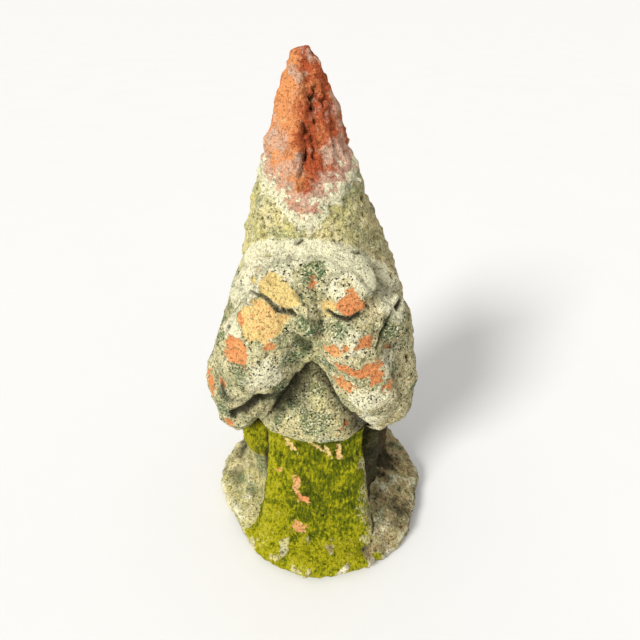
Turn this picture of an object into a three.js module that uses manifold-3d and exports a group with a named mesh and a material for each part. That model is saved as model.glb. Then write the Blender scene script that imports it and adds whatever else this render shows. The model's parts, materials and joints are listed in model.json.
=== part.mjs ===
// Hollow terracotta garden gnome: pointed hat, both hands lifted to the eyes, wide sleeves hanging
// from bent elbows, short tunic over trousered legs, standing on a round rock mound.
// Millimetres, +Z up. The gnome faces -Y, so its own right side is at -X.
// The body is open underneath: one hollow core runs from the mound up into the hat.
import * as THREE from 'three';
import { mergeVertices } from 'three/addons/utils/BufferGeometryUtils.js';
import Module from 'manifold-3d';

const wasm = await Module();
wasm.setup();

// ---- Driving dimensions ----
const HEIGHT = 298; // floor to hat tip
const BASE_RADIUS = 76; // rock mound, at its widest
const LUTING_GAP = 0.3; // slip line left between two sections
const CORE_RADIUS = 23; // hollow inside the body
const HEAD_CORE_RADIUS = 26; // hollow inside the head
const CORE_TOP = 262; // where the hollow closes inside the hat
const HEM_HEIGHT = 99; // lower edge of the tunic
const TUNIC_TOP = 168;
const BRIM_HEIGHT = 185; // hat's lower edge, beside the ears
const BRIM_SLOPE = 0.8; // the hat is pushed back, so its edge rises towards the front
const BRIM_ROLL = 6; // height of the rolled edge
const BRIM_SWELL = 1.2; // how far the roll stands out from the cone
const HAND_DEPTH = -36; // middle of both palms
const HAND_HEIGHT = 197;
const HAND_LEAN = 33; // degrees that the palms lean back
const PALM_RADII = [18, 8, 16]; // half width, half thickness and half length
const FINGER_PITCH = 7;
const FINGER_CROWDING = 0.7; // how much closer together the fingers start than they end
const FINGER_RADII = [4.4, 3.8]; // at the root and at the tip
const MOUND_RISE = 0.3; // how much higher the back of the mound is than its front, as a share

// ---- How finely round shapes are divided ----
const BALL_SEGMENTS = 24;
const BALL_RINGS = 14;
const LIMB_SEGMENTS = 20;
const TURNED_SEGMENTS = 40;
const MOUND_SEGMENTS = 48;

// ---- Turning three.js geometry into solids that can be joined and cut ----
function toSolid(geometry) {
  const plain = geometry.clone();
  for (const name of ['normal', 'uv']) plain.deleteAttribute(name);
  const welded = mergeVertices(plain, 1e-4);
  const { array: points } = welded.attributes.position;
  const index = welded.index.array;
  const faces = [];
  let volume = 0; // six times the volume: negative when the faces look inwards
  for (let i = 0; i < index.length; i += 3) {
    const [a, b, c] = [index[i], index[i + 1], index[i + 2]];
    if (a === b || b === c || c === a) continue;
    faces.push([a, b, c]);
    const corner = (n) => new THREE.Vector3().fromArray(points, 3 * n);
    volume += corner(a).dot(corner(b).cross(corner(c)));
  }
  const outward = volume < 0 ? faces.map(([a, b, c]) => [a, c, b]) : faces;
  const triVerts = Uint32Array.from(outward.flat());
  const vertProperties = Float32Array.from(points);
  return new wasm.Manifold(new wasm.Mesh({ numProp: 3, vertProperties, triVerts }));
}

function warp(geometry, move) {
  const position = geometry.attributes.position;
  const point = new THREE.Vector3();
  for (let i = 0; i < position.count; i += 1) {
    point.fromBufferAttribute(position, i);
    move(point);
    position.setXYZ(i, point.x, point.y, point.z);
  }
  return geometry;
}

// Value in column `key` of a table at a place between its rows. The first column holds the places.
function between(table, place, key) {
  const upper = table.findIndex((row) => row[0] >= place);
  if (upper === 0) return table[0][key];
  if (upper < 0) return table[table.length - 1][key];
  const [low, high] = [table[upper - 1], table[upper]];
  return THREE.MathUtils.mapLinear(place, low[0], high[0], low[key], high[key]);
}

// ---- Shapes. Each is a function of how far the shape is grown outwards. ----
const ball = (centre, radii, turn = [0, 0, 0]) => (grow) => {
  const [x, y, z] = radii.map((radius) => radius + grow);
  const [turnX, turnY, turnZ] = turn.map(THREE.MathUtils.degToRad);
  const geometry = new THREE.SphereGeometry(1, BALL_SEGMENTS, BALL_RINGS).scale(x, y, z);
  geometry.rotateX(turnX).rotateY(turnY).rotateZ(turnZ);
  return toSolid(geometry.translate(...centre));
};

// A round limb with rounded ends, tapering from one radius to the other.
const limb = (start, end, startRadius, endRadius) => (grow) => {
  const [from, to] = [new THREE.Vector3(...start), new THREE.Vector3(...end)];
  const length = from.distanceTo(to);
  const arc = [0, 1, 2, 3, 4].map((step) => (step * Math.PI) / 8);
  const [low, high] = [startRadius + grow, endRadius + grow];
  const profile = [
    ...arc.map((angle) => new THREE.Vector2(low * Math.sin(angle), -low * Math.cos(angle))),
    ...arc.map((angle) => {
      const [across, up] = [Math.cos(angle), Math.sin(angle)];
      return new THREE.Vector2(high * across, length + high * up);
    }),
  ];
  const along = new THREE.Quaternion().setFromUnitVectors(
    new THREE.Vector3(0, 1, 0),
    to.clone().sub(from).normalize(),
  );
  const geometry = new THREE.LatheGeometry(profile, LIMB_SEGMENTS).applyQuaternion(along);
  return toSolid(geometry.translate(...start));
};

// A turned body whose centre may drift: rows of height, radius, centre x, centre y.
const turned = (rows) => (grow) => {
  const last = rows.length - 1;
  const heights = rows.map(([z], i) => z + (i === last ? grow : 0) - (i === 0 ? grow : 0));
  const profile = [
    new THREE.Vector2(0, heights[0]),
    ...rows.map(([, radius], i) => new THREE.Vector2(radius + grow, heights[i])),
    new THREE.Vector2(0, heights[last]),
  ];
  const geometry = new THREE.LatheGeometry(profile, TURNED_SEGMENTS).rotateX(Math.PI / 2);
  return toSolid(warp(geometry, (point) => {
    point.x += between(rows, point.z, 2);
    point.y += between(rows, point.z, 3);
  }));
};

// A rounded-rectangular pillar: rows of height, half width, front y, back y.
const pillar = (rows, centreX, corner) => (grow) => {
  const outline = new THREE.Shape();
  const side = 1 - corner;
  outline.moveTo(side, -1).absarc(side, -side, corner, -Math.PI / 2, 0);
  outline.absarc(side, side, corner, 0, Math.PI / 2);
  outline.absarc(-side, side, corner, Math.PI / 2, Math.PI);
  outline.absarc(-side, -side, corner, Math.PI, Math.PI * 1.5).closePath();
  const [bottom, top] = [rows[0][0] - grow, rows[rows.length - 1][0] + grow];
  const options = { depth: top - bottom, steps: 10, bevelEnabled: false, curveSegments: 5 };
  const geometry = new THREE.ExtrudeGeometry(outline, options).translate(0, 0, bottom);
  return toSolid(warp(geometry, (point) => {
    const [halfWidth, front, back] = [1, 2, 3].map((key) => between(rows, point.z, key));
    point.x = centreX + point.x * (halfWidth + grow);
    point.y = (front + back) / 2 + point.y * ((back - front) / 2 + grow);
  }));
};

const joined = (...shapes) => (grow) => {
  const solids = shapes.map((shape) => shape(grow));
  return solids.reduce((whole, solid) => whole.add(solid));
};

// ---- Rock mound: a rough disc, higher at the back, moulded round the legs' foot ----
// Its edge seen from above: degrees anticlockwise from +X, share of the mound's radius.
const MOUND_EDGE = [
  [-180, 1], [-170, 0.955], [-161, 0.94], [-151, 0.915], [-142, 0.92], [-130, 0.963], [-116, 0.993],
  [-100, 1.005], [-90, 1], [-77, 1.01], [-65, 0.995], [-54, 0.982], [-42, 1.013], [-27, 0.972],
  [-15, 0.96], [0, 1], [15, 0.97], [30, 0.96], [50, 1], [70, 0.96], [90, 1], [105, 0.975],
  [120, 0.987], [140, 0.947], [160, 0.973], [180, 1],
];

const mound = (grow) => {
  const rim = [
    [0, 0], [BASE_RADIUS - 4, 0], [BASE_RADIUS, 4], [BASE_RADIUS, 8], [BASE_RADIUS - 4, 13],
    [BASE_RADIUS - 14, 19], [BASE_RADIUS - 30, 24], [0, 26],
  ];
  const profile = rim.map(([radius, z]) => new THREE.Vector2(radius, z));
  const geometry = new THREE.LatheGeometry(profile, MOUND_SEGMENTS).rotateX(Math.PI / 2);
  return toSolid(warp(geometry, (point) => {
    const angle = THREE.MathUtils.radToDeg(Math.atan2(point.y, point.x));
    const scale = between(MOUND_EDGE, angle, 1);
    point.z *= 1 + MOUND_RISE * THREE.MathUtils.smoothstep(point.y, -20, 60);
    point.x *= scale;
    point.y *= scale;
    if (point.z > 0) point.z += grow;
  }));
};

// ---- Legs: trousers as one block, a narrower front panel and a deeper back ----
const frontPanel = pillar([
  [0, 36, -54, 8], [8, 40, -61, 8], [16, 38, -59, 8], [30, 35, -54, 8], [48, 32.5, -50, 8],
  [70, 30, -44, 8], [90, 28.5, -40, 8], [112, 29, -36, 8],
], -3, 0.2);
const trouserBack = pillar([
  [0, 44, -22, 43], [30, 42, -24, 42], [50, 43, -26, 40], [66, 47, -30, 40],
  [82, 48, -33, 40], [94, 38, -24, 33], [112, 32, -20, 31],
], -3, 0.45);
const legs = joined(frontPanel, trouserBack);

// ---- Tunic: round skirt over the belly, ending in a turned-under hem ----
const tunic = turned([
  [HEM_HEIGHT - 3, 32, 0, -4], [HEM_HEIGHT, 44, 0, -4], [HEM_HEIGHT + 5, 47.5, 0, -4],
  [115, 47, -1, -3], [130, 46, -2, -1], [150, 42, -3, 0], [TUNIC_TOP - 6, 39, -3, 1],
  [TUNIC_TOP, 35, -3, 2],
]);

// ---- Head and hat ----
const head = joined(
  ball([-3, -4, 182], [36, 36, 34]),
  limb([-6, -12, 204], [-6, -25, 182], 20, 21),
  ball([-5, -27, 168], [20, 19, 25]),
);

const cone = turned([
  [150, 47, -1, 6], [160, 46, -1, 6], [187, 43.5, -0.5, 5], [208, 37.5, -3.3, 5],
  [230, 29.3, -5.5, 5], [254, 21, -6.5, 5], [276, 14.5, -7, 5], [HEIGHT - 10, 10.5, -7.5, 5],
  [HEIGHT - 4, 7, -8, 5], [HEIGHT - 1, 3.5, -8, 5], [HEIGHT, 1, -8, 5],
]);

// Everything between two planes parallel to the hat's lower edge.
const SLAB_WIDTH = 300; // wider than the gnome at any lean
const SLAB_REACH = 200; // from the lower edge to well above the tip
const brimSlab = (bottom, top) => {
  const lean = -Math.atan(BRIM_SLOPE);
  const slab = new THREE.BoxGeometry(SLAB_WIDTH, SLAB_WIDTH, (top - bottom) * Math.cos(lean));
  return toSolid(slab.rotateX(lean).translate(0, 0, BRIM_HEIGHT + (bottom + top) / 2));
};

const hat = (grow) => {
  const crown = cone(grow).intersect(brimSlab(-grow, SLAB_REACH));
  return crown.add(cone(grow + BRIM_SWELL).intersect(brimSlab(-grow, BRIM_ROLL + grow)));
};

const rightSideHair = ball([-38, -1, 175], [12, 19, 18]);
const leftSideHair = joined(
  ball([38, 3, 173], [10, 14, 12]),
  ball([40, 6, 161], [9, 13, 13]),
);
const napeHair = ball([-1, 27, 155], [38, 17, 16]);
const leftEar = ball([31, -15, 190], [9.5, 9, 8.5], [0, 0, 20]);
const nose = limb([-7.5, -40, 199], [-7, -49, 182], 5, 6.5);

// ---- Arms: the sleeve hangs from the shoulder to the elbow, then rises to the hand ----
const rightUpperSleeve = joined(
  limb([-37, -2, 163], [-49, -15, 124], 17, 20),
  limb([-49, -17, 120], [-51, -23, 102], 20, 13),
);
const rightForearmSleeve = joined(
  limb([-41, -26, 124], [-33, -33, 158], 19, 23),
  limb([-33, -33, 158], [-24, -36, 180], 23, 17),
);
const leftUpperSleeve = joined(
  limb([38, -6, 157], [39, -19, 128], 16, 19),
  limb([39, -19, 128], [41, -21, 108], 19, 15.5),
  limb([41, -20, 108], [38, -26, 98], 15.5, 8),
);
const leftForearmSleeve = joined(
  limb([14, -37, 172], [27, -33, 134], 18, 19),
  limb([27, -33, 134], [35, -29, 102], 19, 8),
  limb([14, -35, 178], [29, -25, 172], 16, 18),
);

// A hand lies palm-in over one eye, leaning back with its four fingers pointing up under the hat.
// The middle fingers stand out furthest, so the row of four is domed.
const hand = (centreX, turn) => {
  const lean = THREE.MathUtils.degToRad(HAND_LEAN);
  const onPalm = (across, out, along) => [
    centreX + across,
    HAND_DEPTH - out * Math.cos(lean) + along * Math.sin(lean),
    HAND_HEIGHT + out * Math.sin(lean) + along * Math.cos(lean),
  ];
  const palm = ball(onPalm(0, 0, 0), PALM_RADII, [-HAND_LEAN, turn, 0]);
  const fingers = [-1.5, -0.5, 0.5, 1.5].map((place) => {
    const root = onPalm(place * FINGER_PITCH * FINGER_CROWDING, 4.2 - place * place, -4);
    const tip = onPalm(place * FINGER_PITCH, 3 - place * place, 11);
    return limb(root, tip, ...FINGER_RADII);
  });
  return joined(palm, ...fingers);
};
const rightHand = hand(-21, 14);
const leftHand = hand(9, -14);

// ---- Hollow core, open at the floor and closed inside the hat ----
const core = turned([
  [-5, CORE_RADIUS, -2, -2], [138, CORE_RADIUS, -2, -2], [144, HEAD_CORE_RADIUS, -2, -2],
  [202, HEAD_CORE_RADIUS, -2, -2], [230, 14, -5, 3], [CORE_TOP, 4, -7, 5],
]);

// ---- Colours ----
const finish = (color, roughness) => {
  return new THREE.MeshStandardMaterial({ color, roughness, metalness: 0 });
};
const bareClay = finish(0xb4623e, 0.95);
const lichenCrust = finish(0x8f9078, 0.97);
const orangeCrust = finish(0xa89a6c, 0.97);
const moss = finish(0x7a8a1e, 1);
const rockCrust = finish(0x83806a, 0.97);

// ---- Sections, from the ground up. Each one is let into all those before it. ----
const sections = [
  ['legs', legs, moss],
  ['base_mound', mound, rockCrust],
  ['head', head, lichenCrust],
  ['tunic', tunic, lichenCrust],
  ['hat', hat, bareClay],
  ['right_side_hair', rightSideHair, lichenCrust],
  ['left_side_hair', leftSideHair, lichenCrust],
  ['nape_hair', napeHair, lichenCrust],
  ['left_ear', leftEar, lichenCrust],
  ['nose', nose, lichenCrust],
  ['right_upper_sleeve', rightUpperSleeve, lichenCrust],
  ['left_upper_sleeve', leftUpperSleeve, lichenCrust],
  ['right_forearm_sleeve', rightForearmSleeve, orangeCrust],
  ['left_forearm_sleeve', leftForearmSleeve, lichenCrust],
  ['right_hand', rightHand, orangeCrust],
  ['left_hand', leftHand, lichenCrust],
];

const gnome = new THREE.Group();
gnome.name = 'garden_gnome';
let taken = core(0);
for (const [name, shape, material] of sections) {
  const { vertProperties, triVerts } = shape(0).subtract(taken).getMesh();
  taken = taken.add(shape(LUTING_GAP));
  const geometry = new THREE.BufferGeometry();
  geometry.setAttribute('position', new THREE.BufferAttribute(vertProperties, 3));
  geometry.setIndex(new THREE.BufferAttribute(triVerts, 1));
  const mesh = new THREE.Mesh(geometry, material);
  mesh.name = name;
  gnome.add(mesh);
}

export default gnome;
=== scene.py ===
"""Look of the weathered terracotta garden gnome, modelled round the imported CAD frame.

Each CAD section becomes one weathered clay piece. All the sections' distance fields are run together
into one worn body, which is shared out among the pieces again, so that no seam shows. Erosion, crust
and scars are then carved into the surface, and the same fields steer the colours of the materials.
Lengths are in millimetres until a mesh is made. The gnome faces -Y.
"""

import json
import math

import bpy
import numpy as np
import openvdb
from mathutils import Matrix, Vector


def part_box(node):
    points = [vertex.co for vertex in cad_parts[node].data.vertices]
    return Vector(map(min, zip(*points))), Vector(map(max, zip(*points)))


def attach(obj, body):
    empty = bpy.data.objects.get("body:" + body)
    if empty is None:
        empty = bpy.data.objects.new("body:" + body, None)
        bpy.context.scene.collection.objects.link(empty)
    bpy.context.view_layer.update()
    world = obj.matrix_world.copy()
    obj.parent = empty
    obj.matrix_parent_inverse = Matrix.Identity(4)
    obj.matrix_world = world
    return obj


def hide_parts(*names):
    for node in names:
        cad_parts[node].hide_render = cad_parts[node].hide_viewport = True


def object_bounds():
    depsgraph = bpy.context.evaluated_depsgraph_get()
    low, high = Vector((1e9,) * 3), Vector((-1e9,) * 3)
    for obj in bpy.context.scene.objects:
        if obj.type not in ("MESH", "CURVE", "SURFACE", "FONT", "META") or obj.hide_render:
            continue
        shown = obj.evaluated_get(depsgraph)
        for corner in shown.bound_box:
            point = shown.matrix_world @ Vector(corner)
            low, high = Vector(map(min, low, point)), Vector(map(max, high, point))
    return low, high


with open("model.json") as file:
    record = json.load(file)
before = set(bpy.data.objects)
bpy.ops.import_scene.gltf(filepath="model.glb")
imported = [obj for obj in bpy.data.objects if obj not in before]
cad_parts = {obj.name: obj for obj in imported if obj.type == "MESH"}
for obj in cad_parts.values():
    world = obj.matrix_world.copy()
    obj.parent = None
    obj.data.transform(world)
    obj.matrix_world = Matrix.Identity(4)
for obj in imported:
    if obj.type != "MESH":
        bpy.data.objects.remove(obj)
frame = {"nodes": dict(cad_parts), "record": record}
CAD_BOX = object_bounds()

MM = 0.001
VOXEL = 0.9  # spacing of the clay's surface points
BAND = 8  # voxels of distance kept on either side of a surface
MARGIN = BAND + 2  # voxels of lattice round the CAD's box
FAR = BAND * VOXEL
WELD = 1.3  # how softly neighbouring sections run into each other
LAP = 1.5  # how far a section reaches under its neighbour
ROUNDING = 3  # smoothing passes over the joined body
HOLLOW_REACH = 14  # smoothing passes that find hollows, where dirt gathers and painted shade is put
SOFT_FROM, SOFT_TO = 60, 34  # heights between which the sections begin to run together more softly
UNSEEN = 2.5  # deeper than this under the body's surface a point is never seen
FULLY_WORN = 0.8  # down to this depth the wear has its full strength

NODES = sorted(frame["nodes"])


# ---------------------------------------------------------------- distance fields
def grid_corner(corner, outwards):
    """Lattice point a margin away from a corner of a box in metres, in the direction of `outwards`."""
    return np.floor(np.array(corner) / MM / VOXEL).astype(int) + outwards * MARGIN


GRID_LOW = grid_corner(CAD_BOX[0], -1)
GRID_SHAPE = tuple(grid_corner(CAD_BOX[1], 1) - GRID_LOW + 1)


def distances(node):
    """Distance in mm from a CAD section's surface, negative inside it, on the whole lattice."""
    mesh = frame["nodes"][node].data
    mesh.calc_loop_triangles()
    points = np.empty(len(mesh.vertices) * 3, np.float32)
    corners = np.empty(len(mesh.loop_triangles) * 3, np.int32)
    mesh.vertices.foreach_get("co", points)
    mesh.loop_triangles.foreach_get("vertices", corners)
    level_set = openvdb.FloatGrid.createLevelSetFromPolygons(
        points.reshape(-1, 3) / np.float32(MM),
        triangles=corners.reshape(-1, 3).astype(np.uint32),
        transform=openvdb.createLinearTransform(voxelSize=VOXEL),
        halfWidth=BAND,
    )
    field = np.full(GRID_SHAPE, FAR, np.float32)
    level_set.copyToArray(field, ijk=tuple(int(i) for i in GRID_LOW))
    return field


def smoothstep(value, low, high):
    """Smooth rise from 0 at `low` to 1 at `high`, which may be the smaller of the two."""
    share = np.clip((value - low) / (high - low), 0, 1)
    return share * share * (3 - 2 * share)


def smoothed(field, passes):
    """The field after passes that mix each point with its neighbours along one axis after another."""
    for _ in range(passes):
        for axis in range(3):
            field = field + 0.25 * (np.roll(field, 1, axis) + np.roll(field, -1, axis) - 2 * field)
    return field


def sample(field, points):
    """Values of a field at points in mm, read between the lattice points."""
    place = points / VOXEL - GRID_LOW
    whole = np.floor(place).astype(int)
    part = (place - whole).astype(np.float32)
    total = 0
    for corner in np.ndindex(2, 2, 2):
        share = np.prod(np.where(corner, part, 1 - part), axis=1)
        total = total + share * field[tuple((whole + corner).T)]
    return total


def section_mesh(own, others, node):
    """Points in mm and quads of a section's share of the body, which laps under its neighbours."""
    # Past the halfway line the surface sinks below the neighbour's, and it ends a lap beyond the line.
    side = (own - others) / 2
    share = np.maximum(body + 0.5 * np.maximum(side, 0), side - LAP)
    low, high = [np.array(corner) / MM / VOXEL - GRID_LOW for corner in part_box(node)]
    low = np.maximum(low.astype(int) - BAND, 0)
    crop = tuple(slice(a, b) for a, b in zip(low, high.astype(int) + BAND))
    grid = openvdb.FloatGrid(FAR)
    grid.copyFromArray(np.ascontiguousarray(share[crop]))
    points, quads = grid.convertToQuads(0.0)
    return (points + low + GRID_LOW) * VOXEL, quads


def join_sections():
    """The one worn body, which section owns each lattice point, and the nearest two distances there."""
    first = np.full(GRID_SHAPE, FAR, np.float32)
    second = first.copy()
    owner = np.zeros(GRID_SHAPE, np.int8)
    welded = np.zeros(GRID_SHAPE, np.float32)
    for number, node in enumerate(NODES):
        own = distances(node)
        closer = own < first
        second = np.where(closer, first, np.minimum(second, own))
        first = np.where(closer, own, first)
        owner[closer] = number
        welded += np.exp(-own / WELD) - math.exp(-FAR / WELD)
    joined = -WELD * np.log(welded + math.exp(-FAR / WELD))
    return smoothed(joined, ROUNDING), owner, first, second


body, owner, first, second = join_sections()
hollows = smoothed(body, HOLLOW_REACH)
# The mound is moulded round the foot of the legs, so low down everything runs together more softly.
level = (GRID_LOW[2] + np.arange(GRID_SHAPE[2])) * VOXEL
body = body + (hollows - body) * smoothstep(level, SOFT_FROM, SOFT_TO)
body = body.astype(np.float32)


def outwards(points):
    """Unit vectors straight out of the body."""
    shifts = VOXEL * np.eye(3)
    slopes = [sample(body, points + shift) - sample(body, points - shift) for shift in shifts]
    normals = np.stack(slopes, 1)
    return normals / (np.linalg.norm(normals, axis=1, keepdims=True) + 1e-6)


# ---------------------------------------------------------------- noise
LATTICE_SIZE = 64
LATTICE = np.random.default_rng(812).random((LATTICE_SIZE,) * 3, dtype=np.float32)


def lattice_values(corner, seed):
    """Random values from 0 to 1 at whole-numbered places, repeated beyond the lattice's size."""
    i, j, k = ((corner + seed * 29) % LATTICE_SIZE).T
    return LATTICE.take((i * LATTICE_SIZE + j) * LATTICE_SIZE + k)


def noise(points, size, seed, stretch=1):
    """Smooth noise from -1 to 1, in lumps of `size` mm, drawn out upwards by `stretch`."""
    place = (points / (size * np.array([1, 1, stretch]))).astype(np.float32)
    whole = np.floor(place).astype(np.int32)
    part = smoothstep(place - whole, 0, 1)
    rows = []
    for x, y in np.ndindex(2, 2):
        low, high = [lattice_values(whole + np.array([x, y, z], np.int32), seed) for z in (0, 1)]
        rows.append(low + (high - low) * part[:, 2])
    left, right = [rows[x] + (rows[x + 1] - rows[x]) * part[:, 1] for x in (0, 2)]
    return 2 * (left + (right - left) * part[:, 0]) - 1


def pits(points, spacing, radius, share, seed):
    """Round pits, 0 outside and 1 at their middles, in a share of the cells of a loose lattice."""
    points = points.astype(np.float32)
    whole = np.floor(points / spacing).astype(np.int32)
    depth = np.zeros(len(points), np.float32)
    for step in np.ndindex(3, 3, 3):
        here = np.flatnonzero(lattice_values(whole + np.array(step, np.int32) - 1, seed) < share)
        cell = whole[here] + np.array(step, np.int32) - 1
        middle = np.stack([lattice_values(cell, seed + axis) for axis in (1, 2, 3)], 1)
        away = np.linalg.norm(points[here] - (cell + middle) * spacing, axis=1)
        size = radius * (0.6 + 0.8 * lattice_values(cell, seed + 4))
        depth[here] = np.maximum(depth[here], 1 - smoothstep(away, 0.2 * size, size))
    return depth


# ---------------------------------------------------------------- places on the gnome
def box_mm(node):
    """Lowest and highest corner of a node's box in mm."""
    return [np.array(corner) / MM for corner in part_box(node)]


def spot(node, across, up):
    """x and z of a place on a node's front, as shares of the node's box."""
    low, high = box_mm(node)
    return np.array([low[0] + across * (high[0] - low[0]), low[2] + up * (high[2] - low[2])])


def front(normals):
    """How much a surface faces the front, 0 to 1."""
    return smoothstep(-normals[:, 1], 0.0, 0.25)


def seen_from_front(points, wander, size):
    """x and z of the points, shifted by up to `wander` mm so that lines drawn through them waver."""
    return points[:, [0, 2]] + wander * np.stack([noise(points, size, 41), noise(points, size, 42)], 1)


def line_field(seen, lines):
    """How deep in mm the lines cut: each goes through places, with a half width and a depth in mm."""
    depth = np.zeros(len(seen))
    for places, width, deep in lines:
        ends = [spot(*place) for place in places]
        away = np.full(len(seen), np.inf)
        for start, end in zip(ends, ends[1:]):
            along = end - start
            share = np.clip((seen - start) @ along / (along @ along), 0, 1)
            away = np.minimum(away, np.linalg.norm(seen - start - share[:, None] * along, axis=1))
        depth = np.maximum(depth, deep * smoothstep(away, width, 0.15 * width))
    return depth


def blotches(seen, ragged, table):
    """Share, 0 to 1, of round blotches from a table, with their edges moved in by `ragged` mm."""
    share = np.zeros(len(seen))
    for node, across, up, radius in table:
        away = np.linalg.norm(seen - spot(node, across, up), axis=1) + ragged
        share = np.maximum(share, smoothstep(away, radius, 0.2 * radius))
    return share


# Bare clay where the crust has flaked off: node, share across, share up, half width and half height
# in mm, tilt in degrees, bend per mm, and tint from brick red (0) through orange (0.45) to peach (1).
FLAKES = [
    ("right_hand", 0.60, 0.40, 10.5, 5, -30, 0.0, 0.95),
    ("right_forearm_sleeve", 0.65, 0.87, 13, 9.5, 20, 0.0, 0.8),
    ("right_forearm_sleeve", 0.35, 0.68, 6.5, 5.5, 40, 0.0, 0.55),
    ("right_forearm_sleeve", 0.71, 0.73, 2.4, 2.2, 0, 0.0, 0.6),
    ("right_forearm_sleeve", 0.43, 0.84, 2.2, 4, 20, 0.0, 0.5),
    ("right_forearm_sleeve", 0.08, 0.38, 2.0, 4.5, 10, 0.0, 0.35),
    ("right_upper_sleeve", 0.12, 0.44, 2.0, 6.5, 15, 0.0, 0.35),
    ("right_upper_sleeve", 0.41, 0.14, 3.4, 1.8, -20, 0.0, 0.35),
    ("left_hand", 0.63, 0.30, 7, 5, 0, 0.0, 0.45),
    ("left_hand", 0.28, 0.23, 3.4, 3.8, 0, 0.0, 0.85),
    ("left_hand", 0.02, 0.66, 1.1, 1.6, 0, 0.0, 0.4),
    ("left_forearm_sleeve", 0.17, 0.76, 4.4, 3, -25, 0.0, 0.6),
    ("left_forearm_sleeve", 0.29, 0.78, 1.9, 2.2, 0, 0.0, 0.5),
    ("left_forearm_sleeve", 0.49, 0.80, 4.4, 2.8, 30, 0.0, 0.4),
    ("left_forearm_sleeve", 0.54, 0.615, 12.5, 4.0, 12, 0.03, 0.4),
    ("left_forearm_sleeve", 0.63, 0.575, 3.5, 4.5, 0, 0.0, 0.35),
    ("left_forearm_sleeve", 0.30, 0.50, 5.5, 2.8, -40, 0.0, 0.6),
    ("left_forearm_sleeve", 0.77, 0.48, 3.4, 2.8, 15, 0.0, 0.4),
    ("tunic", 0.66, 0.22, 1.8, 5, -42, 0.0, 0.5),
    ("legs", 0.35, 0.78, 0.9, 4.5, 35, 0.0, 0.85),
    ("legs", 0.50, 0.785, 1.1, 5.5, 48, 0.0, 0.85),
    ("legs", 0.58, 0.75, 0.9, 4.5, 24, 0.0, 0.8),
    ("legs", 0.65, 0.75, 1.7, 5.5, 6, 0.0, 0.8),
    ("legs", 0.38, 0.515, 1.7, 8.5, 4, 0.0, 0.65),
    ("legs", 0.405, 0.442, 5.2, 2.0, -38, 0.0, 0.55),
    ("legs", 0.39, 0.24, 5.6, 3.2, -15, 0.0, 0.65),
    ("legs", 0.26, 0.62, 2.0, 1.4, 0, 0.0, 0.6),
    ("legs", 0.965, 0.64, 1.4, 8, 0, 0.0, 0.6),
]

NOT_FLAKED = 9.0  # this far in mm outside a flake's outline nothing of it shows

# The cuffs and fingertips make one arch under the hat: places along its lower edge.
ARCH = [
    ("right_side_hair", 0.20, 0.45), ("right_hand", 0.21, 0.48), ("right_hand", 0.29, 0.71),
    ("right_hand", 0.48, 0.88), ("hat", 0.35, 0.415), ("hat", 0.46, 0.425), ("left_hand", 0.24, 0.96),
    ("left_hand", 0.45, 0.88), ("left_hand", 0.66, 0.77), ("left_hand", 0.88, 0.56),
    ("left_forearm_sleeve", 0.76, 0.93), ("left_forearm_sleeve", 0.84, 0.84),
]
# Lower edges of the sleeves over the belly.
RIGHT_SLEEVE_EDGE = [
    ("head", 0.45, 0.22), ("tunic", 0.37, 0.68), ("tunic", 0.30, 0.54),
    ("right_forearm_sleeve", 0.64, 0.24), ("right_forearm_sleeve", 0.50, 0.17),
    ("right_forearm_sleeve", 0.36, 0.10),
]
LEFT_SLEEVE_EDGE = [
    ("head", 0.50, 0.22), ("left_forearm_sleeve", 0.15, 0.53), ("left_forearm_sleeve", 0.31, 0.44),
    ("left_forearm_sleeve", 0.48, 0.30), ("left_forearm_sleeve", 0.60, 0.13),
    ("left_forearm_sleeve", 0.72, 0.01),
]

# The belly sinks in and darkens towards the sleeves: the edge, half width in mm and depth as a share.
SLEEVE_SHADE = [(RIGHT_SLEEVE_EDGE, 20, 1.0), (LEFT_SLEEVE_EDGE, 17, 1.0)]

# Folds and cracks cut into the front: places that the line runs through, half width and depth in mm.
CREASES = [
    (ARCH, 1.3, 1.2),
    ([("right_hand", 0.20, 0.42), ("right_hand", 0.48, 0.20), ("right_forearm_sleeve", 0.84, 0.93),
      ("right_forearm_sleeve", 0.93, 0.91)], 1.8, 2.2),
    ([("right_upper_sleeve", 0.46, 0.22), ("right_forearm_sleeve", 0.28, 0.14),
      ("right_forearm_sleeve", 0.42, 0.22), ("right_forearm_sleeve", 0.57, 0.31)], 5.5, 4.0),
    ([("left_hand", 0.26, 0.13), ("left_forearm_sleeve", 0.21, 0.92), ("left_forearm_sleeve", 0.34, 0.92),
      ("left_forearm_sleeve", 0.44, 0.94)], 1.7, 2.8),
    ([("left_hand", 0.2, 0.45), ("left_hand", 0.32, 0.72), ("left_hand", 0.5, 0.84)], 1.4, 1.4),
    ([("left_forearm_sleeve", 0.78, 0.88), ("left_forearm_sleeve", 0.62, 0.76)], 1.8, 2.0),
    ([("left_forearm_sleeve", 0.72, 0.72), ("left_upper_sleeve", 0.62, 0.40)], 2.2, 1.2),
    ([("nose", 0.72, 0.60), ("nose", 0.70, 0.40)], 0.8, 1.2),
    ([("left_forearm_sleeve", 0.86, 0.93), ("left_forearm_sleeve", 0.84, 0.9)], 2.2, 3.5),
    ([("left_ear", 0.35, 0.45), ("left_ear", 0.6, 0.25), ("left_ear", 0.85, 0.5)], 1.3, 1.4),
    ([("hat", 0.19, 0.5), ("hat", 0.2, 0.485)], 1.3, 2.4),
    ([("hat", 0.2, 0.465), ("hat", 0.19, 0.45)], 1.1, 2.0),
    ([("hat", 0.39, 0.45), ("hat", 0.42, 0.465)], 1.4, 2.4),
]

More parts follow.
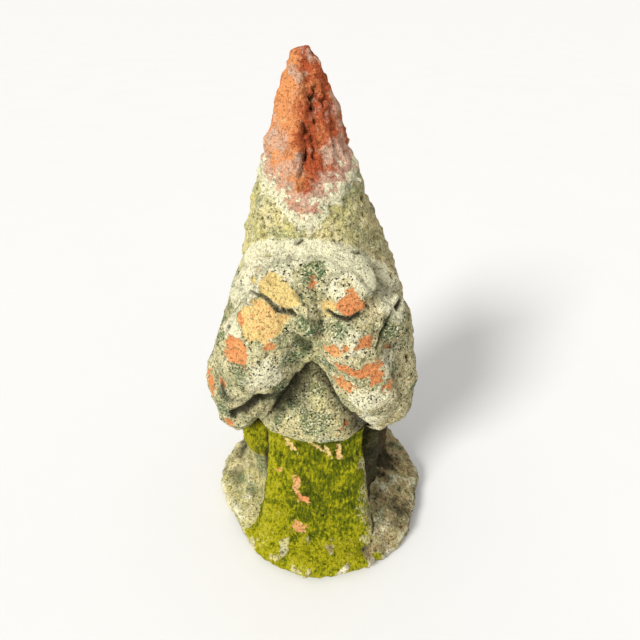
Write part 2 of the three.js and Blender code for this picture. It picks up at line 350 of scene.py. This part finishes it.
# Weathering gullies and cracks down the front of the bare hat top.
FISSURES = [
    ([("hat", 0.435, 0.96), ("hat", 0.47, 0.87), ("hat", 0.47, 0.78)], 5.5, 2.6),
    ([("hat", 0.44, 0.78), ("hat", 0.44, 0.68), ("hat", 0.42, 0.60)], 4.0, 1.8),
    ([("hat", 0.430, 0.955), ("hat", 0.435, 0.93)], 1.5, 3.4),
    ([("hat", 0.480, 0.885), ("hat", 0.480, 0.845)], 2.3, 5.0),
    ([("hat", 0.420, 0.80), ("hat", 0.440, 0.735), ("hat", 0.43, 0.69)], 2.0, 4.8),
    ([("hat", 0.415, 0.71), ("hat", 0.39, 0.62)], 1.5, 3.4),
    ([("hat", 0.475, 0.765), ("hat", 0.480, 0.71)], 1.2, 3.6),
    ([("hat", 0.550, 0.905), ("hat", 0.535, 0.85)], 1.4, 2.6),
    ([("hat", 0.330, 0.735), ("hat", 0.335, 0.72)], 1.4, 2.6),
    ([("hat", 0.36, 0.935), ("hat", 0.42, 0.945), ("hat", 0.50, 0.925)], 1.8, 1.7),
]

# Where the middle of the hat's front crumbles away.
CRUMBLING = [([("hat", 0.47, 0.90), ("hat", 0.46, 0.70), ("hat", 0.43, 0.62)], 9, 1.0)]

# Blotches: node, share across, share up, radius in mm. These are dark green algae.
ALGAE = [
    ("left_hand", 0.06, 0.85, 8), ("left_hand", 0.75, 0.80, 8), ("left_hand", 0.95, 0.35, 7),
    ("left_forearm_sleeve", 0.78, 0.82, 8), ("left_forearm_sleeve", 0.10, 0.62, 7),
    ("left_upper_sleeve", 0.85, 0.45, 7),
    ("right_hand", 0.05, 0.30, 8),
    ("right_forearm_sleeve", 0.10, 0.72, 8), ("right_forearm_sleeve", 0.85, 0.25, 9),
    ("right_forearm_sleeve", 0.22, 0.85, 8), ("right_forearm_sleeve", 0.92, 0.60, 8),
    ("right_forearm_sleeve", 0.80, 0.35, 9),
    ("right_upper_sleeve", 0.35, 0.25, 10), ("right_upper_sleeve", 0.45, 0.50, 9),
    ("nose", 0.42, 0.72, 7), ("nose", 0.30, 0.40, 5), ("nose", 0.95, 0.15, 7),
    ("hat", 0.67, 0.60, 7), ("hat", 0.47, 0.38, 6), ("head", 0.43, 0.30, 7),
]
# Chalk on the crust. On the left sleeves, away from the sun, the blotches are also painted light.
PALE = [
    ("left_hand", 0.40, 0.62, 9), ("left_hand", 0.55, 0.95, 8),
    ("left_forearm_sleeve", 0.35, 0.78, 12), ("left_forearm_sleeve", 0.62, 0.42, 16),
    ("left_forearm_sleeve", 0.60, 0.20, 12), ("left_upper_sleeve", 0.30, 0.80, 12),
    ("right_hand", 0.50, 0.80, 9), ("right_forearm_sleeve", 0.62, 0.52, 17),
    ("tunic", 0.55, 0.12, 7), ("hat", 0.30, 0.40, 12),
]
# Dark blotches on the right sleeve, in the fold of the elbow, and round the nose between the hands:
# painted shade with grime.
SHADE_AND_GRIME = [
    ("right_upper_sleeve", 0.45, 0.50, 13), ("right_forearm_sleeve", 0.70, 0.30, 11),
    ("nose", 0.42, 0.75, 5), ("nose", 0.55, -0.25, 5),
]
# Dust on the bare top of the hat.
DUSTY = [
    ("hat", 0.28, 0.76, 10), ("hat", 0.34, 0.68, 9), ("hat", 0.60, 0.84, 8), ("hat", 0.64, 0.73, 11),
    ("hat", 0.60, 0.62, 9), ("hat", 0.39, 0.94, 4), ("hat", 0.47, 0.985, 6),
]


def flakes(points, normals):
    """Share of bare clay, 0 to 1, and its tint, at each point."""
    ragged = 2.0 * noise(points, 4, 1) + 1.8 * noise(points, 1.9, 2)
    best = np.full(len(points), -NOT_FLAKED)
    tint = np.full(len(points), 0.4)
    for node, across, up, half_width, half_height, tilt, bend, hue in FLAKES:
        away = points[:, [0, 2]] - spot(node, across, up)
        turn = math.radians(tilt)
        along = away @ [math.cos(turn), math.sin(turn)]
        over = away @ [-math.sin(turn), math.cos(turn)] - bend * along**2
        size = min(half_width, half_height)
        inside = size * (1 - np.hypot(along / half_width, over / half_height))
        inside = inside + min(1, size / 3) * ragged - NOT_FLAKED * (1 - front(normals))
        tint = np.where(inside > best, hue, tint)
        best = np.maximum(best, inside)
    # Smaller chips on the sides and back, where nothing is named.
    chips = 9 * (noise(points, 13, 3) - 0.62) + 0.5 * ragged
    chips = chips - NOT_FLAKED * smoothstep(-normals[:, 1], -0.3, 0.1)
    best = np.maximum(best, chips)
    return smoothstep(best, -2.6, 2.2), tint


def hat_edge(points):
    """Height of the lower edge of the bare clay on the hat, lowest in a tongue at the front."""
    _, edge = spot("hat", 0.42, 0.70)
    middle, tip = spot("hat", 0.42, 0.58)
    half_width = 13
    tongue = np.exp(-(((points[:, 0] - middle) / half_width) ** 2))
    tongue = tongue * smoothstep(-points[:, 1], -5, 8)
    return edge + (tip - edge) * tongue


def shared_wear(points, facing, normals):
    """Masks of what covers every section's clay, and what is carved away there in mm."""
    x, y, _ = points.T
    seen = seen_from_front(points, 1.2, 5)
    ragged = 4 * noise(points, 6, 11)
    creases = line_field(seen, CREASES) * facing
    bare, tint = flakes(points, normals)
    bare = bare * smoothstep(creases, 1.4, 0.4)
    dots = smoothstep(noise(points, 4.5, 9) + 0.6 * noise(points, 2, 10), 0.1, 0.5)
    # Above its lower edge the arch stands out, pale and washed clean.
    # The left sleeve's lower edge has a painted highlight.
    arch = line_field(seen - [0, 2.5], [(ARCH, 7.5, 1.0)]) * facing
    washed = 1 - 0.7 * arch
    sleeve_edge_highlight = line_field(seen - [2.6, 0], [(LEFT_SLEEVE_EDGE, 2.2, 1.0)])
    pale = (0.8 * sleeve_edge_highlight + 0.7 * blotches(seen, ragged, PALE)) * facing + 1.2 * arch + 0.35 * dots
    stains = 0.8 * smoothstep(noise(points, 10, 15), 0.25, 0.7)
    # Hollows are painted darker: painted shade, with the dirt that gathers there.
    grime_and_shade = 0.9 * smoothstep(-sample(hollows, points), 0.0, 0.9)
    grime_and_shade += 0.25 * smoothstep(noise(points, 7, 12), 0.1, 0.7)
    # Dark blotches of painted shade with grime.
    grime_and_shade += 0.6 * blotches(seen, ragged, SHADE_AND_GRIME) * facing
    masks = {
        "bare": bare,
        "tint": tint,
        "moss": np.zeros(len(points)),
        "pale": pale * (1 - smoothstep(bare, 0.2, 0.6)),
        "algae": np.maximum(blotches(seen, ragged, ALGAE) * facing, stains) * washed,
        "brown": 0.45 * smoothstep(x, 0, 40) + 0.4 * smoothstep(y, 0, 40) + 0.3 * noise(points, 15, 7),
        "yellow": np.zeros(len(points)),
        "pores": (0.7 + 0.45 * noise(points, 9, 16) + 0.15 * smoothstep(x, 0, 20)) * washed,
        # Creases are painted darker: painted shade.
        "dirt": grime_and_shade * washed + 0.35 * creases,
    }
    return masks, creases - 1.6 * arch * (0.7 + 0.8 * noise(points, 6, 37))


def hat_wear(points, facing, masks):
    """The hat's top is bare, dusty and cracked. Its crust ends in blisters and white dots."""
    x, _, z = points.T
    above_edge = z - hat_edge(points) + 4 * noise(points, 8, 4) + 3 * noise(points, 3.2, 5)
    islands = smoothstep(above_edge, -24, -8) * smoothstep(noise(points, 4, 17), 0.0, 0.6)
    bare = np.maximum(smoothstep(above_edge, -14, 0), 0.55 * islands)
    blisters = pits(points, 6.5, 3.4, 0.8, 50)
    blisters = blisters * smoothstep(above_edge, -30, -10) * smoothstep(above_edge, 14, 2)
    cracked = seen_from_front(points, 1.6, 2.6)
    fissures = line_field(cracked, FISSURES) * facing * (0.85 + 0.5 * noise(points, 3.5, 62))
    crumbling = line_field(cracked, CRUMBLING) * facing * pits(points, 3.2, 1.7, 0.6, 60)
    upright = noise(points, 2.6, 24, 4) + 0.8 * noise(points, 5, 25, 2.5)
    dots = smoothstep(noise(points, 2.6, 35) + 0.6 * noise(points, 1.5, 36), 0.0, 0.4)
    dots = dots * smoothstep(above_edge, -18, -8) * smoothstep(above_edge, 9, -2)
    dust = blotches(cracked, 4 * noise(points, 5, 11), DUSTY) * facing
    dust = np.maximum(dust, smoothstep(np.abs(above_edge + 4), 12, 4))
    # Painted light: the bare clay is tinted lighter and more orange on the lit side, the gnome's right.
    lit_side = smoothstep(x, -2, -20)
    tint = 0.04 + 0.44 * lit_side + 0.16 * noise(points, 6, 6)
    masks["tint"] += smoothstep(bare, 0, 0.5) * (tint - masks["tint"])
    masks["bare"] = np.maximum(masks["bare"], bare * (1 - 0.65 * dots))
    masks["pale"] += 0.9 * dots + 0.7 * dust + 0.3 * blisters
    masks["algae"] *= 0.6
    masks["pores"] *= 0.5
    masks["yellow"] = (1 - bare) * (1 - smoothstep(x, 0, 40)) * (0.75 + 0.5 * noise(points, 12, 8))
    # Painted shade in the deepest fissures and the crumbling.
    masks["dirt"] += 0.24 * np.maximum(fissures - 1.8, 0) + 0.5 * crumbling
    return fissures + 1.8 * crumbling - 1.5 * blisters - bare * (0.9 * upright - 0.2)


def belly_wear(points, facing, masks):
    """Between the arms the belly and the chin sink in and get painted shade. The belly's hem is pale."""
    x, _, z = points.T
    chin_low = box_mm("head")[0][2]
    hem_low = box_mm("tunic")[0][2]
    under_arms = line_field(seen_from_front(points, 1.2, 5), SLEEVE_SHADE) * facing
    # Over the chin the sleeves' edges close to a point.
    point_x, point_z = spot("head", 0.48, 0.165)
    half_gap = 0.7 * np.maximum(point_z - z, 0)
    beside_gap = smoothstep(np.abs(x - point_x) - half_gap, -1, 1)
    under_arms = under_arms * (1 - smoothstep(z - chin_low, 0, 6) * beside_gap)
    algae = 0.8 * smoothstep(noise(points, 8, 51), 0.0, 0.35) * facing
    masks["yellow"] = np.full(len(points), 0.4)
    masks["algae"] = np.maximum(masks["algae"], algae)
    masks["pale"] += 0.4 * smoothstep(np.abs(z - hem_low - 4.9), 4, 1)
    # Painted shade under the arms.
    masks["dirt"] += 0.85 * under_arms
    return 3.4 * under_arms


def legs_wear(points, facing, masks):
    """Moss on the legs' front, thin on the gnome's left, yellow at the sides and low down: partly painted
    light.
    """
    x, y, z = points.T
    panel_front = box_mm("legs")[0][1]
    behind_panel = smoothstep(y - panel_front, 22.2, 30.2)
    wander = 6 * noise(points, 9, 32) + 3 * noise(points, 3.5, 33)
    moss = 1 - 0.9 * behind_panel * smoothstep(z + wander, 72, 62)
    moss = moss * (1 - smoothstep(y + 2 * wander, 0, 20)) * (1 - 0.6 * smoothstep(x + wander, 23, 31))
    masks["moss"] = moss
    # Painted light: the moss is yellower on the lit side, the gnome's right, and low down. The strip on
    # the gnome's left side is its own colour.
    masks["yellow"] = (0.6 * smoothstep(x, -6, -32) + 0.3 * smoothstep(z, 56, 20)) * facing
    masks["yellow"] += 0.25 * smoothstep(x, 14, 26) * facing
    masks["pale"] *= 1 - moss
    masks["pores"] *= 0.6
    masks["dirt"] *= 1 - 0.5 * smoothstep(z, 60, 30)
    # Painted shade in the recess behind the panel, darker on the gnome's left, away from the sun.
    masks["dirt"] += behind_panel * smoothstep(y, 10, -5) * (0.25 + 0.65 * smoothstep(x, 0, 40))
    return 0


def mound_wear(points, facing, masks):
    """The mound is ridged rock, with moss running down over its front."""
    x, y, z = points.T
    # Angle round the mound and distance from its middle, unrolled so that ridges run downwards.
    around = 45 * np.arctan2(x, -y) + 9 * noise(points, 22, 28)
    unrolled = np.stack([around, 0.7 * np.hypot(x, y), 0.7 * z], 1)
    ridges = 1 - np.abs(noise(unrolled, 15, 26)) - 0.5 * np.abs(noise(unrolled, 6, 27))
    moss = smoothstep(np.abs(x + 6), 52, 34) * smoothstep(-y, 20, 40)
    moss = smoothstep(0.85 * moss + 0.6 * noise(points, 8, 19) + 0.25 * noise(points, 3.5, 34), 0.5, 0.8)
    masks["moss"] = moss
    masks["bare"] = np.zeros(len(points))
    masks["yellow"] = 0.4 + 0.25 * smoothstep(z, 44, 16) * facing
    masks["brown"] += 0.7 * smoothstep(x, -20, 30) + 0.3 * noise(points, 8, 18)
    masks["pores"] *= 0.5
    masks["pale"] = (masks["pale"] + 0.5 * smoothstep(ridges, 0.62, 0.9)) * (1 - moss)
    # Painted shade: darker on the gnome's left, away from the sun, and in the grooves between the ridges.
    masks["dirt"] += 0.38 * smoothstep(x, 0, 40) + 0.5 * smoothstep(ridges, 0.5, 0.1)
    masks["dirt"] *= 1 - 0.6 * moss
    return -3.2 * (1 - 0.8 * moss) * (ridges - 0.6)


# What else wears some sections: each function changes the masks and returns what it carves, in mm.
OWN_WEAR = {
    "hat": hat_wear,
    "tunic": belly_wear,
    "head": belly_wear,
    "legs": legs_wear,
    "base_mound": mound_wear,
}
# How much coarser these sections' lumps are than the others'.
ROUGHNESS = {"hat": 1.6, "base_mound": 1.8}


def weather(points, normals, node):
    """Masks at a section's surface, each 0 to 1, and how far in mm the worn surface stands out."""
    facing = front(normals)
    masks, carved = shared_wear(points, facing, normals)
    if node in OWN_WEAR:
        carved = carved + OWN_WEAR[node](points, facing, masks)
    rough = ROUGHNESS.get(node, 1.0) * (1 - 0.4 * masks["moss"])
    height = rough * (0.8 * noise(points, 15, 20) + 0.6 * noise(points, 7, 21))
    height += (0.55 + 0.25 * rough) * noise(points, 3.4, 22) + 0.4 * noise(points, 1.8, 23)
    deep_pits = pits(points, 14, 1.8, 0.5, 30) * (1 - 0.8 * masks["moss"])
    small_pits = pits(points, 5.0, 1.0, 0.45, 40) * (1 - 0.6 * masks["moss"])
    flaked = masks["bare"] * (node != "hat")
    height += 0.35 * masks["pale"] - 0.8 * flaked - 2.2 * deep_pits - 1.0 * small_pits - carved
    # Painted shade in the pits.
    masks["dirt"] += 0.9 * deep_pits + 0.6 * small_pits
    masks = {name: np.clip(values, 0, 1) for name, values in masks.items()}
    return masks, height * smoothstep(points[:, 2], 0.3, 4)


# ---------------------------------------------------------------- materials
# Sizes in mm of the lumps that vary the colours.
COARSE, MEDIUM, FINE, GRAIN = 17, 5.5, 1.5, 0.5
MOTTLE, PORE, SPECK, STREAK = 3.2, 1.3, 1.2, 1.5
BUMP_DEPTH = 2.2
FAINT_GLOSS = 0.1

# Linear red, green and blue.
BRICK = (0.50, 0.10, 0.035)
ORANGE = (0.88, 0.35, 0.13)
PEACH = (0.97, 0.74, 0.29)
DUST = (0.74, 0.50, 0.36)
GREY_GREEN = (0.50, 0.49, 0.25)
BEIGE = (0.80, 0.70, 0.38)
YELLOW_GREEN = (0.84, 0.75, 0.28)
BROWN = (0.60, 0.43, 0.20)
OLIVE = (0.13, 0.12, 0.045)
ALGAE_GREEN = (0.07, 0.15, 0.06)
CHALK = (0.98, 0.93, 0.64)
MOSS_DARK = (0.04, 0.05, 0.001)
MOSS_GREEN = (0.135, 0.165, 0.002)
MOSS_YELLOW = (0.46, 0.43, 0.008)
# Soil, also painted as shade in hollows, creases and recesses.
SOIL_AND_SHADE = (0.022, 0.018, 0.008)

# The Mix node's colour sockets share their names with others, so they are found by number.
FIRST_COLOUR, SECOND_COLOUR, MIXED_COLOUR = 6, 7, 2


class Tree:
    """Short ways to add nodes to a material."""

    def __init__(self, name):
        self.material = bpy.data.materials.new(name)
        self.material.use_nodes = True
        self.nodes = self.material.node_tree.nodes
        self.links = self.material.node_tree.links
        self.nodes.clear()

    def connect(self, value, socket):
        """Link another node's socket, or set a number or a colour."""
        if isinstance(value, bpy.types.NodeSocket):
            self.links.new(value, socket)
        elif isinstance(value, tuple) and len(socket.default_value) == 4:
            socket.default_value = (*value, 1)
        else:
            socket.default_value = value

    def node(self, kind, **inputs):
        """A node with inputs set by name, where _ stands for a space."""
        node = self.nodes.new("ShaderNode" + kind)
        for name, value in inputs.items():
            self.connect(value, node.inputs[name.replace("_", " ")])
        return node

    def maths(self, operation, first, second=0.0):
        node = self.nodes.new("ShaderNodeMath")
        node.operation = operation
        self.connect(first, node.inputs[0])
        self.connect(second, node.inputs[1])
        return node.outputs[0]

    def step(self, value, low, high, to=1.0):
        """Smooth rise from 0 at `low` to `to` at `high`, which may be the smaller of the two."""
        node = self.node("MapRange", Value=value, From_Min=low, From_Max=high, To_Max=to)
        node.interpolation_type = "SMOOTHSTEP"
        return node.outputs[0]

    def mix(self, share, first, second):
        """The first colour where the share is 0, the second where it is 1."""
        node = self.nodes.new("ShaderNodeMix")
        node.data_type = "RGBA"
        self.connect(share, node.inputs[0])
        self.connect(first, node.inputs[FIRST_COLOUR])
        self.connect(second, node.inputs[SECOND_COLOUR])
        return node.outputs[MIXED_COLOUR]

    def finish(self, shader):
        """Let the surface show the shader."""
        output = self.nodes.new("ShaderNodeOutputMaterial")
        self.connect(shader.outputs[0], output.inputs["Surface"])

    def mask(self, name):
        """A mask that is stored on the mesh's points."""
        node = self.nodes.new("ShaderNodeAttribute")
        node.attribute_name = name
        return node.outputs["Fac"]

    def noise(self, place, size, detail=3.0):
        node = self.node("TexNoise", Vector=place, Scale=1 / size, Detail=detail, Roughness=0.6)
        return node.outputs["Fac"]

    def moved(self, place, shift, stretch=(1, 1, 1)):
        """The place shifted, so that noises of one size differ, and stretched along the axes."""
        node = self.nodes.new("ShaderNodeMapping")
        self.connect(place, node.inputs["Vector"])
        node.inputs["Location"].default_value = (shift, 2 * shift, -shift)
        node.inputs["Scale"].default_value = stretch
        return node.outputs[0]


def crust_colour(tree, place, coarse, medium, fine):
    """Grey-green and beige lichen crust, yellow or brown by place, with olive, chalk and algae on it."""
    colour = tree.mix(tree.step(coarse, 0.40, 0.62), GREY_GREEN, BEIGE)
    yellow = tree.maths("MULTIPLY", tree.mask("yellow"), tree.step(medium, 0.25, 0.6))
    colour = tree.mix(yellow, colour, YELLOW_GREEN)
    brown = tree.maths("MULTIPLY", tree.mask("brown"), tree.step(medium, 0.3, 0.65))
    colour = tree.mix(brown, colour, BROWN)
    mottle = tree.noise(tree.moved(place, 3), MOTTLE)
    colour = tree.mix(tree.step(mottle, 0.50, 0.36, 0.65), colour, OLIVE)
    chalk = tree.maths("ADD", tree.mask("pale"), tree.maths("MULTIPLY", fine, 1.4))
    colour = tree.mix(tree.step(chalk, 0.95, 1.45, 0.94), colour, CHALK)
    algae = tree.maths("MULTIPLY", tree.mask("algae"), tree.step(fine, 0.36, 0.52))
    return tree.mix(tree.maths("MULTIPLY", algae, 0.9), colour, ALGAE_GREEN)


def clay_colour(tree, medium, fine):
    """Bare terracotta from brick red through orange to peach, dusty where it is pale."""
    hue = tree.maths("ADD", tree.mask("tint"), tree.maths("MULTIPLY", fine, 0.7))
    hue = tree.maths("ADD", hue, tree.maths("MULTIPLY", medium, 0.5))
    hue = tree.maths("SUBTRACT", hue, 0.6)
    colour = tree.mix(tree.step(hue, 0.0, 0.45), BRICK, ORANGE)
    colour = tree.mix(tree.step(hue, 0.5, 0.95), colour, PEACH)
    dust = tree.maths("ADD", tree.mask("pale"), tree.maths("MULTIPLY", fine, 1.1))
    dust = tree.maths("ADD", dust, tree.maths("MULTIPLY", medium, 0.8))
    return tree.mix(tree.step(dust, 1.1, 1.9, 0.9), colour, DUST)


def moss_colour(tree, place, coarse, medium, fine):
    """Moss in fine upright streaks, from dark green through green to yellow, with some dry tips."""
    streaks = tree.noise(tree.moved(place, 31, (1, 1, 0.3)), STREAK, 4.0)
    light = tree.maths("ADD", tree.maths("MULTIPLY", coarse, 0.6), tree.maths("MULTIPLY", streaks, 1.4))
    light = tree.maths("ADD", light, tree.maths("MULTIPLY", medium, 0.9))
    # The yellow mask lightens the moss; on the legs that is painted light on the lit side and low down.
    light = tree.maths("ADD", light, tree.maths("MULTIPLY", tree.mask("yellow"), 0.4))
    colour = tree.mix(tree.step(light, 1.12, 1.48), MOSS_DARK, MOSS_GREEN)
    colour = tree.mix(tree.step(light, 1.42, 1.78), colour, MOSS_YELLOW)
    dry = tree.maths("ADD", light, tree.maths("MULTIPLY", fine, 0.5))
    return tree.mix(tree.step(dry, 2.05, 2.5, 0.5), colour, YELLOW_GREEN)


def with_specks(tree, place, colour, bare, moss):
    """The colour with white dots and black pores, which are fewer off the crust, and the pores."""
    crusted = tree.maths("MULTIPLY", tree.maths("SUBTRACT", 1.0, bare), tree.maths("SUBTRACT", 1.0, moss))
    crusted = tree.maths("MULTIPLY", crusted, tree.mask("pores"))
    specks = tree.step(tree.noise(tree.moved(place, 7), SPECK, 2.0), 0.55, 0.61)
    colour = tree.mix(tree.maths("MULTIPLY", specks, crusted), colour, CHALK)
    pores = tree.step(tree.noise(tree.moved(place, 5), PORE, 2.0), 0.585, 0.65)
    open_share = tree.maths("ADD", crusted, tree.maths("MULTIPLY", tree.mask("pores"), 0.5))
    return tree.mix(tree.maths("MULTIPLY", pores, open_share), colour, SOIL_AND_SHADE), pores


def with_dirt_and_shade(tree, colour, fine, grain):
    """Soil in the grain, and soil colour for grime and for painted shade wherever the mask puts them."""
    colour = tree.mix(tree.step(grain, 0.55, 0.40, 0.36), colour, SOIL_AND_SHADE)
    grime_and_shade = tree.maths("SUBTRACT", tree.mask("dirt"), tree.maths("MULTIPLY", fine, 0.5))
    return tree.mix(tree.step(grime_and_shade, -0.2, 0.75, 0.93), colour, SOIL_AND_SHADE)


def weathered_clay(name):
    """Terracotta with its crusts: what shows where comes from the masks on the mesh."""
    tree = Tree(name)
    coordinates = tree.nodes.new("ShaderNodeTexCoord").outputs["Object"]
    in_mm = tree.nodes.new("ShaderNodeVectorMath")
    in_mm.operation = "SCALE"
    tree.connect(coordinates, in_mm.inputs[0])
    in_mm.inputs["Scale"].default_value = 1 / MM
    place = in_mm.outputs[0]
    coarse = tree.noise(place, COARSE)
    medium = tree.noise(tree.moved(place, 11), MEDIUM)
    fine = tree.noise(tree.moved(place, 23), FINE, 4.0)
    grain = tree.noise(tree.moved(place, 37), GRAIN, 2.0)

    ragged = tree.maths("MULTIPLY", tree.maths("SUBTRACT", fine, 0.5), 1.6)
    bare = tree.step(tree.maths("ADD", tree.mask("bare"), ragged), 0.42, 0.58)
    moss = tree.step(tree.maths("ADD", tree.mask("moss"), ragged), 0.30, 0.62)
    colour = crust_colour(tree, place, coarse, medium, fine)
    colour = tree.mix(moss, colour, moss_colour(tree, place, coarse, medium, fine))
    colour = tree.mix(bare, colour, clay_colour(tree, medium, fine))
    colour, pores = with_specks(tree, place, colour, bare, moss)
    colour = with_dirt_and_shade(tree, colour, fine, grain)

    height = tree.maths("ADD", fine, tree.maths("MULTIPLY", grain, 0.25))
    height = tree.maths("SUBTRACT", height, tree.maths("MULTIPLY", pores, 0.5))
    bump = tree.node("Bump", Height=height, Strength=1.0, Distance=BUMP_DEPTH * MM)
    roughness = tree.step(fine, 0.3, 0.7)
    roughness = tree.maths("ADD", tree.maths("MULTIPLY", roughness, 0.12), 0.86)
    shader = tree.node("BsdfPrincipled", Base_Color=colour, Roughness=roughness, Normal=bump.outputs[0])
    shader.inputs["Specular IOR Level"].default_value = FAINT_GLOSS
    tree.finish(shader)
    return tree.material


# ---------------------------------------------------------------- pieces
# Material slots of the sections that aren't plainly lichened.
SLOTS = {
    "hat": "bare_terracotta",
    "legs": "mossy_terracotta",
    "base_mound": "weathered_mound",
    "right_forearm_sleeve": "patchy_terracotta",
    "left_forearm_sleeve": "patchy_terracotta",
    "right_hand": "patchy_terracotta",
    "left_hand": "patchy_terracotta",
}
MATERIALS = {entry["slot"]: weathered_clay(entry["slot"]) for entry in frame["record"]["materials"]}


def worn_section(number, node):
    """Worn points in mm, quads and masks of one section."""
    own = distances(node)
    others = np.where(owner == number, second, first)
    points, quads = section_mesh(own, others, node)
    points = points.astype(np.float32)
    depth = sample(body, points)
    shown = np.flatnonzero(depth > -UNSEEN)
    normals = outwards(points[shown])
    shown_masks, height = weather(points[shown], normals, node)
    height = height * smoothstep(depth[shown], -UNSEEN, -FULLY_WORN)
    points[shown] += normals * height[:, None]
    points[:, 2] = np.maximum(points[:, 2], 0)
    masks = {name: np.zeros(len(points), np.float32) for name in shown_masks}
    for name, values in shown_masks.items():
        masks[name][shown] = values
    return points, quads, masks


def clay_piece(number, node):
    """One section as a piece that takes the place of its CAD node."""
    points, quads, masks = worn_section(number, node)
    mesh = bpy.data.meshes.new(node + "_clay")
    mesh.from_pydata((points * MM).tolist(), [], quads.tolist())
    mesh.polygons.foreach_set("use_smooth", np.ones(len(mesh.polygons), bool))
    for name, values in masks.items():
        layer = mesh.attributes.new(name, "FLOAT", "POINT")
        layer.data.foreach_set("value", values)
    slot = SLOTS.get(node, "lichened_terracotta")
    mesh.materials.append(MATERIALS[slot])
    piece = bpy.data.objects.new(node + "_clay", mesh)
    bpy.context.scene.collection.objects.link(piece)
    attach(piece, "root")
    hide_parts(node)


for number, node in enumerate(NODES):
    clay_piece(number, node)


# ---------------------------------------------------------------- floor, light and camera
# Lengths and places of the stage are in metres.
HEIGHT = CAD_BOX[1].z
MIDDLE = Vector((0, 0, 0.5)) * HEIGHT
FLOOR_REACH = 50 * HEIGHT
CLOUD_SIZE = 0.15
FLOOR_GREY = (0.78, 0.78, 0.775)
FLOOR_LIGHT = (0.81, 0.81, 0.805)

SUN_PLACE = Vector((-1.3, -1.5, 1.9)) * HEIGHT
SUN_SPREAD = math.radians(18)
SUN_STRENGTH = 3.3
SUN_COLOUR = (1.0, 0.98, 0.95)
SKY_COLOUR = (1.0, 0.99, 0.97, 1)
SKY_STRENGTH = 0.65

CAMERA_PLACE = Vector((0, -0.846, 1.083)) * HEIGHT
CAMERA_PITCH = math.radians(34)
CAMERA_LENS = 28.4


def add_floor():
    """Plain pale floor, very slightly cloudy, that reaches far beyond the view."""
    mesh = bpy.data.meshes.new("floor")
    corners = [(x * FLOOR_REACH, y * FLOOR_REACH, 0) for x, y in ((-1, -1), (1, -1), (1, 1), (-1, 1))]
    mesh.from_pydata(corners, [], [(0, 1, 2, 3)])
    tree = Tree("pale_floor")
    place = tree.nodes.new("ShaderNodeTexCoord").outputs["Object"]
    colour = tree.mix(tree.noise(place, CLOUD_SIZE), FLOOR_GREY, FLOOR_LIGHT)
    tree.finish(tree.node("BsdfPrincipled", Base_Color=colour, Roughness=0.7))
    mesh.materials.append(tree.material)
    floor = bpy.data.objects.new("floor", mesh)
    bpy.context.scene.collection.objects.link(floor)


def add_sun():
    """One soft light from the front, high on the gnome's right."""
    light = bpy.data.lights.new("key", "SUN")
    light.angle = SUN_SPREAD
    light.energy = SUN_STRENGTH
    light.color = SUN_COLOUR
    lamp = bpy.data.objects.new("key", light)
    lamp.location = SUN_PLACE
    lamp.rotation_euler = (MIDDLE - SUN_PLACE).to_track_quat("-Z", "Y").to_euler()
    bpy.context.scene.collection.objects.link(lamp)


def add_camera():
    """Looks down on the gnome from the front, from about the gnome's own height away."""
    camera = bpy.data.cameras.new("camera")
    camera.lens = CAMERA_LENS
    camera.clip_start = 0.01
    holder = bpy.data.objects.new("camera", camera)
    holder.location = CAMERA_PLACE
    holder.rotation_euler = (math.pi / 2 - CAMERA_PITCH, 0, 0)
    bpy.context.scene.collection.objects.link(holder)
    bpy.context.scene.camera = holder


def add_sky():
    """The same soft light from everywhere."""
    world = bpy.data.worlds.new("studio")
    world.use_nodes = True
    background = world.node_tree.nodes["Background"]
    background.inputs["Color"].default_value = SKY_COLOUR
    background.inputs["Strength"].default_value = SKY_STRENGTH
    bpy.context.scene.world = world


add_floor()
add_sun()
add_camera()
add_sky()
bpy.context.scene.view_settings.view_transform = "Standard"
